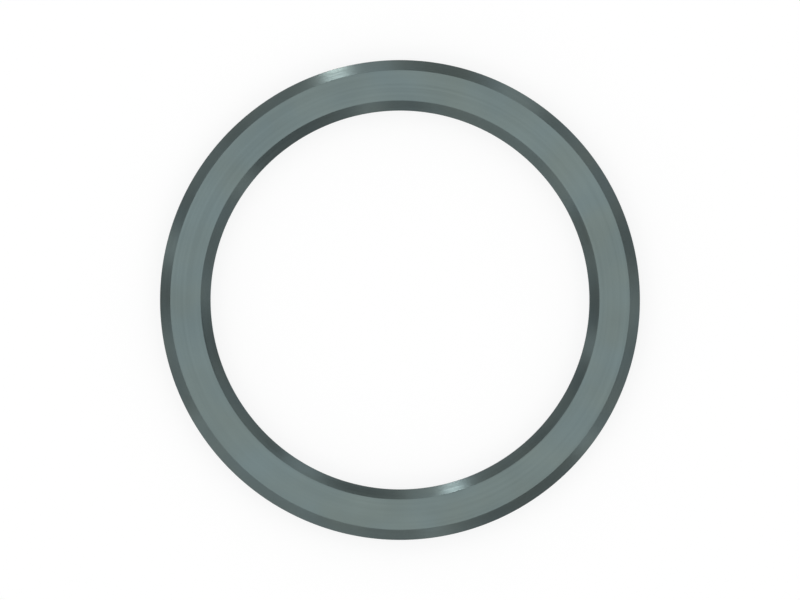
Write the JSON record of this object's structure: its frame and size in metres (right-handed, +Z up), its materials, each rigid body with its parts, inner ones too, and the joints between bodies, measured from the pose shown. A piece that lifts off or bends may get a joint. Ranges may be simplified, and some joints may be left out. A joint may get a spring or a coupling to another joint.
{
  "type": "sealing washer",
  "caption": "Flat metal sealing ring with chamfered edges, clamped under a screw plug or banjo bolt head so that fluid can't pass.",
  "frame": {"origin": "centre of the bore, in the plane of the underside", "axes": "+Z up the bore's axis, from the underside to the top face; +X and +Y are any two square directions across the ring, which is the same all round"},
  "size_m": [0.018, 0.018, 0.0015],
  "materials": {
    "plated_steel": "satin"
  },
  "bodies": {
    "root": {"washer": "plated_steel"}
  },
  "joints": []
}
